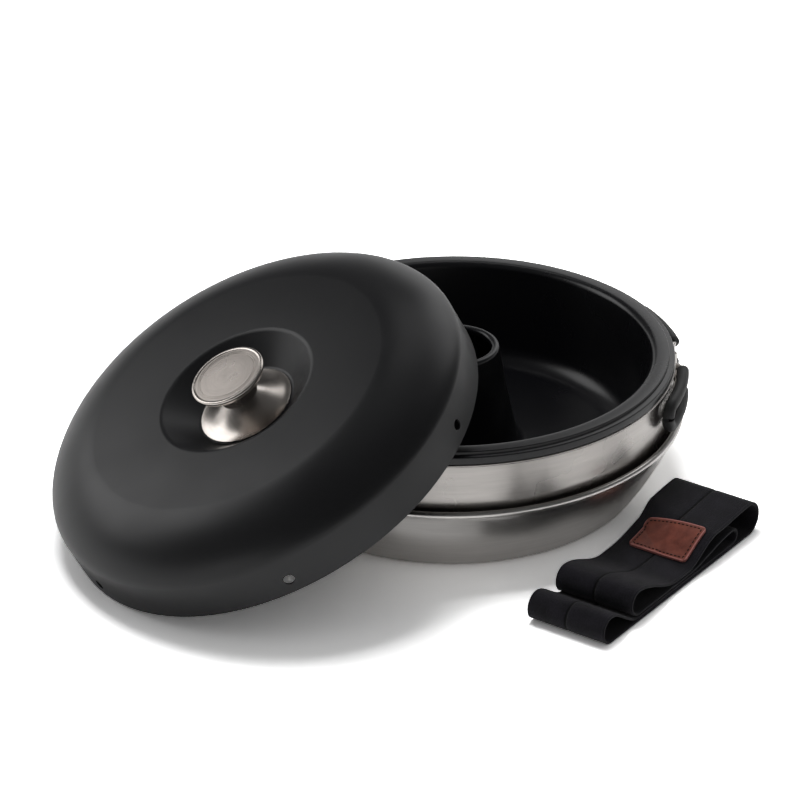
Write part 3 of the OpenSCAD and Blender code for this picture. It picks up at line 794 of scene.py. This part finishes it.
def innerLayer(u):
    # the layer under the top one, where it comes back from the inner loop
    high = layers[1] + 2 * loopRadius["innerLoop"]
    if u > innerAt + loopRadius["innerLoop"] + strap["thick"]:
        return 0
    return high + (layers[2] - high) * smoothStep((innerAt - u) / (innerAt - pinchTo))


def topLayer(u, v):
    # the climbing top layer's middle; its far side droops and climbs later
    last = smoothStep((u - crestAt) / (farAt - crestAt))
    late = strap["droop"] * (v / strap["width"]) ** 2 * (1 - last)
    rising = layers[3] + (crestLow - layers[3]) * smoothStep((u - late - pinchTo) / (crestAt - pinchTo))
    rising += strap["crestDip"] * last
    return max(rising, innerLayer(u) + layerStep)


def aside(u, v):
    # the folded band is a little narrower at its front
    return v * (strap["narrow"] + strap["widen"] * u / strap["length"])


def bandColumns():
    middle, width = strap["width"] / 2, strap["width"]
    side = [0, 0.7, 1.3, 1.9, 2.5]
    inner = [2.5 + (middle - 1.4 - 2.5) * i / 9 for i in range(1, 10)]
    near = side + inner + [middle - 0.8, middle - 0.3]
    return near + [width - v for v in near[::-1]]


def bandFill(v):
    # how full the webbing is across its width: thin at its middle crease and its edge stitching
    fromMiddle = abs(v - strap["width"] / 2)
    fromEdge = min(v, strap["width"] - v)
    crease = strap["crease"] * (1 - smoothStep((fromMiddle - 0.3) / 0.9))
    stitch = strap["stitch"] * math.exp(-((fromEdge - strap["stitchIn"]) / 0.5) ** 2)
    return 1 - crease - stitch


def buildBand(material):
    line = bandLine()
    columns = bandColumns()
    count, rows = len(line), len(columns) - 1
    run = [0]
    for i in range(count):
        a, b = line[i], line[(i + 1) % count]
        run.append(run[-1] + math.dist(a, b))
    pickNothing()
    bpy.ops.mesh.primitive_grid_add(x_subdivisions=count, y_subdivisions=rows, size=1)
    piece = rename(bpy.context.active_object, "strapBand")
    mesh = piece.data
    spots = [(round((v.co.x + 0.5) * count), round((v.co.y + 0.5) * rows)) for v in mesh.vertices]
    climb = max(i for i, point in enumerate(line) if point == (pinchTo, layers[3]))
    for vertex, (i, j) in zip(mesh.vertices, spots):
        u, z = line[i % count]
        if climb <= i < count:
            z = topLayer(u, columns[j])
        vertex.co = (u * mm, columns[j] * mm, z * mm)
    uv = mesh.uv_layers[0]
    uv.name = "clothMap"
    for loop in mesh.loops:
        i, j = spots[loop.vertex_index]
        uv.data[loop.index].uv = (run[i] * mm, columns[j] * mm)
    mendMesh(piece)
    middles = [v.co.copy() for v in mesh.vertices]
    cloth = piece.modifiers.new("cloth", "SOLIDIFY")
    cloth.thickness = strap["thick"] * mm
    cloth.offset = 0
    cloth.use_even_offset = True
    applyModifiers(piece)
    for i, vertex in enumerate(piece.data.vertices):
        middle = middles[i % len(middles)]
        vertex.co = middle + (vertex.co - middle) * bandFill(middle.y / mm)
        vertex.co.y = aside(vertex.co.x / mm, vertex.co.y)
    roundEdges(piece, strap["edgeRound"], 3, 60)
    smoothShade(piece, 50)
    settle(piece, strapPlace)
    finishPiece(piece, "strap", material, ["strap_band"])
    return piece, run[-1]


def onPatch(a, b, lift):
    # a place on the patch, from its middle along and across the strap, as a point on the folded band
    step = 0.5
    u, v = patchAt + a, strap["width"] / 2 - patch["aside"] + b
    slope = (topLayer(u + step, v) - topLayer(u - step, v)) / (2 * step)
    tilt = (topLayer(u, v + step) - topLayer(u, v - step)) / (2 * step)
    normal = Vector((-slope, -tilt, 1)).normalized()
    return (Vector((u, aside(u, v), topLayer(u, v))) + normal * (midLow + lift)) * mm


def buildPatch(leather, thread):
    pickNothing()
    along, across = 30, 44
    bpy.ops.mesh.primitive_grid_add(x_subdivisions=along, y_subdivisions=across, size=1)
    piece = rename(bpy.context.active_object, "leatherPatch")
    mesh = piece.data
    half = Vector((patch["long"] / 2, patch["wide"] / 2))
    r = patch["corner"]
    uv = mesh.uv_layers[0]
    uv.name = "hideMap"
    flat = []
    for vertex in mesh.vertices:
        x, y = vertex.co.x * 2 * half.x, vertex.co.y * 2 * half.y
        dx, dy = (abs(x) - half.x + r) / r, (abs(y) - half.y + r) / r
        if dx > 0 and dy > 0:
            x = math.copysign(half.x - r + r * dx * math.sqrt(1 - dy * dy / 2), x)
            y = math.copysign(half.y - r + r * dy * math.sqrt(1 - dx * dx / 2), y)
        flat.append((x, y))
    for loop in mesh.loops:
        x, y = flat[loop.vertex_index]
        uv.data[loop.index].uv = (x * mm, y * mm)
    for vertex, (x, y) in zip(mesh.vertices, flat):
        vertex.co = onPatch(x, y, patch["lift"])
    mendMesh(piece)
    if piece.data.polygons[0].normal.z < 0:
        bpy.ops.object.mode_set(mode="EDIT")
        bpy.ops.mesh.flip_normals()
        bpy.ops.object.mode_set(mode="OBJECT")
    hide = piece.modifiers.new("hide", "SOLIDIFY")
    hide.thickness = patch["thick"] * mm
    hide.offset = 1
    applyModifiers(piece)
    roundEdges(piece, patch["edgeRound"], 4, 60)
    smoothShade(piece, 50)
    settle(piece, strapPlace)
    finishPiece(piece, "strap", leather, ["strap_patch"])

    # one stitch, copied round the border
    inset = Vector((half.x - patch["stitchIn"], half.y - patch["stitchIn"]))
    bend = max(0.8, r - patch["stitchIn"] + 0.6)
    corners = [(inset.x - bend, inset.y - bend, 0), (bend - inset.x, inset.y - bend, 90),
               (bend - inset.x, bend - inset.y, 180), (inset.x - bend, bend - inset.y, 270)]
    border = []
    for x, y, start in corners:
        border += arcPoints((x, y), bend, start, start + 90, 8)
    border.append(border[0])
    total = sum(math.dist(a, b) for a, b in zip(border, border[1:]))
    stitches = round(total / patch["stitchPitch"])
    lift = patch["lift"] + patch["thick"]
    pickNothing()
    bpy.ops.mesh.primitive_cylinder_add(
        vertices=10, radius=patch["thread"] / 2 * mm, depth=patch["stitchLong"] * mm,
        rotation=(0, math.pi / 2, 0))
    stitch = rename(bpy.context.active_object, "stitch")
    settle(stitch)
    for sign in (-1, 1):
        bpy.ops.object.mode_set(mode="EDIT")
        bpy.ops.mesh.select_all(action="DESELECT")
        bpy.ops.mesh.select_mode(type="FACE")
        bpy.ops.object.mode_set(mode="OBJECT")
        for face in stitch.data.polygons:
            face.select = face.normal.x * sign > 0.9
        bpy.ops.object.mode_set(mode="EDIT")
        step = (patch["stitchEnd"] * mm * sign, 0, -patch["stitchDip"] * mm)
        bpy.ops.mesh.extrude_region_move(TRANSFORM_OT_translate={"value": step})
        bpy.ops.transform.resize(value=(1, patch["stitchTaper"], patch["stitchTaper"]))
        bpy.ops.object.mode_set(mode="OBJECT")
    parts = []
    for n in range(stitches):
        wanted, gone = total * n / stitches, 0
        for a, b in zip(border, border[1:]):
            step = math.dist(a, b)
            if gone + step >= wanted:
                break
            gone += step
        share = (wanted - gone) / step
        x, y = a[0] + (b[0] - a[0]) * share, a[1] + (b[1] - a[1]) * share
        ahead = onPatch(x + (b[0] - a[0]) / step, y + (b[1] - a[1]) / step, lift) - onPatch(x, y, lift)
        forward = ahead.normalized()
        up = (onPatch(x, y, lift + 1) - onPatch(x, y, lift)).normalized()
        sideways = up.cross(forward)
        spot = onPatch(x, y, lift + 0.02)
        turn = Matrix((forward, sideways, up)).transposed().to_4x4()
        parts.append(copyOf(stitch, "stitchCopy", strapPlace @ Matrix.Translation(spot) @ turn))
    bpy.data.objects.remove(stitch)
    sewn = joinAll(parts, "patchStitching")
    smoothShade(sewn, 60)
    finishPiece(sewn, "strap", thread)
    return piece, sewn


# the finishes: screen colours from dark to bright, roughness, lines or scale, and bump depth in mm

ringSteel = steelFinish("brushedRingSteel", (168, 164, 161), (194, 190, 186), (0.25, 0.31), 600.0, 0.001)
traySteel = steelFinish("brushedTraySteel", (200, 197, 194), (222, 219, 216), (0.29, 0.35), 600.0, 0.001)
brightSteel = steelFinish("polishedSteel", (196, 189, 183), (222, 215, 209), (0.2, 0.3), 500.0, 0.004,
                          length=2.0, place=leanPlace)
capSteel = steelFinish("turnedCapSteel", (172, 165, 159), (204, 196, 190), (0.26, 0.36), 700.0, 0.004,
                       length=1.5, place=leanPlace)
wireSteel = steelFinish("drawnWireSteel", (190, 187, 183), (214, 211, 207), (0.2, 0.3), 700.0, 0.006,
                        length=6.0)
lidCoat = coatFinish("lidPowderCoat", (15, 15, 17), (21, 21, 23), (0.34, 0.4), 1400.0, 0.006, shine=0.42)
mouldCoat = coatFinish("nonStickCoat", (9, 9, 12), (13, 13, 16), (0.26, 0.32), 1100.0, 0.005)
rubber = coatFinish("siliconeSleeve", (21, 22, 22), (29, 29, 29), (0.5, 0.62), 1600.0, 0.01)


def bandFinish():
    material, tree, shader, vector = startMaterial("elasticBand", uv="clothMap")
    weave = useEffect(tree, elasticWeave, vector, Ribs=1100.0, Cords=1400.0)
    cloth = mixOf(tree, rangeOf(tree, weave.outputs["Tone"], 0, 1), linear(8, 8, 10), linear(33, 31, 38))
    # painted shade: the crease along the middle is painted darker, measured across the band's own flat map
    fromMiddle = mathNode(tree, "SUBTRACT", axesOf(tree, vector)[1], strap["width"] / 2 * mm)
    crease = rangeOf(tree, mathNode(tree, "ABSOLUTE", fromMiddle), 1, 0, 0.5 * mm, 1.2 * mm)
    giveAll(tree, shader, {
        "Base Color": mixOf(tree, crease, cloth, linear(3, 3, 4)), "Roughness": 0.9, "Specular IOR Level": 0.15,
        "Sheen Weight": 0.12, "Sheen Roughness": 0.5, "Normal": bumpOf(tree, weave.outputs["Height"], 0.2)})
    return material


def leatherFinish():
    material, tree, shader, vector = startMaterial("patchLeather", uv="hideMap")
    hide = useEffect(tree, leatherGrain, vector, Scale=1300.0)
    colour = mixOf(tree, rangeOf(tree, hide.outputs["Tone"], 0, 1), linear(86, 42, 33), linear(122, 66, 53))
    # painted highlight: the rounded border is painted lighter, by distance from the patch's edge, from its own
    # flat map
    beyond = []
    for place, size in zip(axesOf(tree, vector), (patch["long"], patch["wide"])):
        beyond.append(mathNode(tree, "SUBTRACT", mathNode(tree, "ABSOLUTE", place), size / 2 * mm))
    edge = rangeOf(tree, mathNode(tree, "MAXIMUM", *beyond), 0, 1, -1.1 * mm, -0.5 * mm)
    giveAll(tree, shader, {
        "Base Color": mixOf(tree, edge, colour, linear(158, 100, 94)),
        "Roughness": rangeOf(tree, hide.outputs["Tone"], 0.42, 0.55),
        "Normal": bumpOf(tree, hide.outputs["Height"], 0.05)})
    return material


def threadFinish():
    material, tree, shader, vector = startMaterial("waxedThread")
    grain = useEffect(tree, coatGrain, vector, Scale=2600.0)
    giveAll(tree, shader, {
        "Base Color": mixOf(tree, rangeOf(tree, grain.outputs["Specks"], 0, 1), linear(12, 7, 7),
                            linear(24, 13, 12)),
        "Roughness": 0.7, "Normal": bumpOf(tree, grain.outputs["Height"], 0.05)})
    return material


# build everything

buildTray(traySteel)
buildRing(ringSteel)
print("tray and ring made")
buildMould(mouldCoat)
buildLid(lidCoat)
print("mould and lid made")
buildKnob(brightSteel, brightSteel, capSteel)
for nodeName in ("knob_screw", "knob_washer"):
    nodes[nodeName].data.materials.clear()
    nodes[nodeName].data.materials.append(wireSteel)
print("knob made")
rightAt, leftAt = handle["at"], handle["at"] + 180
buildHandle("right_front", rightAt - hingeTurn, -1, 0, wireSteel, rubber)
buildHandle("right_rear", rightAt + hingeTurn, 1, -handle["open"], wireSteel, rubber)
buildHandle("left_front", leftAt + hingeTurn, 1, 0, wireSteel, rubber)
buildHandle("left_rear", leftAt - hingeTurn, -1, 0, wireSteel, rubber)
for side, angle in (("right", rightAt), ("left", leftAt)):
    buildBracket(side, angle, wireSteel)
    buildRivets(side, angle, wireSteel)
print("handles made")
bandPiece, bandLength = buildBand(bandFinish())
patchPiece, stitchPiece = buildPatch(leatherFinish(), threadFinish())
print("strap made, band length", round(bandLength, 1), "mm")


# floor, light and camera, in metres

stage = {"size": 12, "down": 0.0003, "diffuse": 0.8, "mirrored": 0.4, "seen": 1.4, "glow": 0.8,
         "glowFrom": 0.6, "glowTo": 2.2}


def buildStage():
    pickNothing()
    bpy.ops.mesh.primitive_plane_add(size=stage["size"], location=(0, 0, -stage["down"]))
    floor = rename(bpy.context.active_object, "floor")
    settle(floor)
    material = bpy.data.materials.new("paleFloor")
    material.use_nodes = True
    tree = material.node_tree
    tree.nodes.remove(tree.nodes["Principled BSDF"])
    matte = addNode(tree, "ShaderNodeBsdfDiffuse")
    rays = addNode(tree, "ShaderNodeLightPath")
    seen = mathNode(tree, "ADD", rays.outputs["Is Camera Ray"], rays.outputs["Is Transmission Ray"], clamp=True)
    shiny = mathNode(tree, "MULTIPLY_ADD", rays.outputs["Is Glossy Ray"], stage["mirrored"], stage["diffuse"])
    give(tree, matte.inputs["Color"], mathNode(tree, "MULTIPLY_ADD", seen, stage["seen"], shiny))
    # away from the lamps the floor glows a little, so that it stays white up to the horizon
    glow = addNode(tree, "ShaderNodeEmission")
    away = vectorNode(tree, "LENGTH", addNode(tree, "ShaderNodeTexCoord").outputs["Object"])
    far = rangeOf(tree, away, 0, stage["glow"], stage["glowFrom"], stage["glowTo"])
    give(tree, glow.inputs["Strength"], mathNode(tree, "MULTIPLY", seen, far))
    both = addNode(tree, "ShaderNodeAddShader")
    give(tree, both.inputs[0], matte.outputs[0])
    give(tree, both.inputs[1], glow.outputs[0])
    give(tree, tree.nodes["Material Output"].inputs["Surface"], both.outputs[0])
    floor.data.materials.append(material)


room = {"diffuse": 0.3, "horizon": 1.0, "above": 0.07, "fadeTo": 0.3}


def buildWorld():
    world = bpy.data.worlds.new("studio")
    bpy.context.scene.world = world
    world.use_nodes = True
    tree = world.node_tree
    background = tree.nodes["Background"]
    give(tree, background.inputs["Color"], (1, 1, 1, 1))
    rays = addNode(tree, "ShaderNodeLightPath")
    seen = mathNode(tree, "ADD", rays.outputs["Is Camera Ray"], rays.outputs["Is Glossy Ray"])
    seen = mathNode(tree, "ADD", seen, rays.outputs["Is Transmission Ray"], clamp=True)
    up = axesOf(tree, addNode(tree, "ShaderNodeTexCoord").outputs["Generated"])[2]
    # reflections see the white background at the horizon and a dimmer room above it
    fading = addNode(tree, "ShaderNodeMapRange", interpolation_type="SMOOTHSTEP")
    giveAll(tree, fading, {"Value": up, "From Min": 0.0, "From Max": room["fadeTo"],
                           "To Min": room["horizon"], "To Max": room["above"]})
    dimmed = mathNode(tree, "SUBTRACT", fading.outputs["Result"], 1)
    shiny = mathNode(tree, "MULTIPLY", rays.outputs["Is Glossy Ray"], dimmed)
    white = mathNode(tree, "MULTIPLY_ADD", seen, 1 - room["diffuse"], room["diffuse"])
    give(tree, background.inputs["Strength"], mathNode(tree, "ADD", white, shiny))


# the softboxes: place, what each points at, size, power, and whether reflections and matt surfaces get it
softboxes = {
    "overheadSoftbox": ((-0.15, 0.35, 1.9), (0, 0, 0.05), (1.0, 0.8), 23, False, True),
    "frontSoftbox": ((-1.2, -1.5, 0.5), (0, -0.05, 0.05), (0.9, 0.5), 1.2, True, True),
    "leftSoftbox": ((-0.84, 0.25, 0.56), (-0.14, -0.07, 0.1), (0.62, 0.6), 2.4, True, False),
    "rightSoftbox": ((0.46, 0.66, 0.84), (0.05, 0, 0.12), (0.66, 0.6), 1.7, True, False),
    "backSoftbox": ((0.36, 0.95, 0.46), (0.05, 0, 0.06), (0.85, 0.3), 0.7, True, False),
    "highSoftbox": ((-0.1, 0.57, 1.03), (-0.12, -0.06, 0.13), (0.36, 0.26), 0.35, True, False),
}


def addSoftbox(name, place, aim, size, power, mirrored, lights):
    pickNothing()
    bpy.ops.object.light_add(type="AREA", location=place)
    lamp = bpy.context.active_object
    lamp.name = name
    lamp.data.shape = "RECTANGLE"
    lamp.data.size, lamp.data.size_y = size
    lamp.data.energy = power
    lamp.visible_camera = False
    lamp.visible_glossy = mirrored
    lamp.visible_diffuse = lights
    lamp.rotation_euler = (Vector(aim) - Vector(place)).to_track_quat("-Z", "Y").to_euler()


# painted reflections: a dark card and a glowing card on the floor that only the tray's reflections see: place,
# turn, size and glow
cards = {
    "trayReflectedShadeCard": ((0.058, -0.134, 0.0005), 23, (0.13, 0.028), 0.02),
    "trayReflectedGlowCard": ((-0.016, -0.146, 0.0005), -6, (0.07, 0.03), 0.4),
}


def addCard(name, place, turn, size, glow):
    pickNothing()
    bpy.ops.mesh.primitive_plane_add(size=1, location=place, rotation=(0, 0, math.radians(turn)))
    card = rename(bpy.context.active_object, name)
    card.scale = (*size, 1)
    settle(card)
    material = bpy.data.materials.new(name)
    material.use_nodes = True
    tree = material.node_tree
    giveAll(tree, tree.nodes["Principled BSDF"], {
        "Base Color": (0, 0, 0, 1), "Specular IOR Level": 0, "Emission Color": (1, 1, 1, 1),
        "Emission Strength": glow})
    card.data.materials.append(material)
    card.visible_camera = card.visible_diffuse = card.visible_transmission = card.visible_shadow = False


cameraView = {"lens": 180, "sensor": 36, "place": (-0.031745, -2.139554, 1.169701), "tilt": 62.429,
              "roll": -0.013493, "near": 0.1, "far": 30}


def buildCamera():
    pickNothing()
    bpy.ops.object.camera_add()
    camera = bpy.context.active_object
    camera.name = "photoCamera"
    camera.data.sensor_width = cameraView["sensor"]
    camera.data.lens = cameraView["lens"]
    camera.data.clip_start = cameraView["near"]
    camera.data.clip_end = cameraView["far"]
    camera.matrix_world = (Matrix.Translation(cameraView["place"])
                           @ Matrix.Rotation(math.radians(cameraView["tilt"]), 4, "X")
                           @ Matrix.Rotation(cameraView["roll"], 4, "Z"))
    bpy.context.scene.camera = camera


buildStage()
buildWorld()
for name, values in softboxes.items():
    addSoftbox(name, *values)
for name, values in cards.items():
    addCard(name, *values)
buildCamera()
bpy.context.scene.view_settings.view_transform = "Standard"
print("stage, light and camera set")
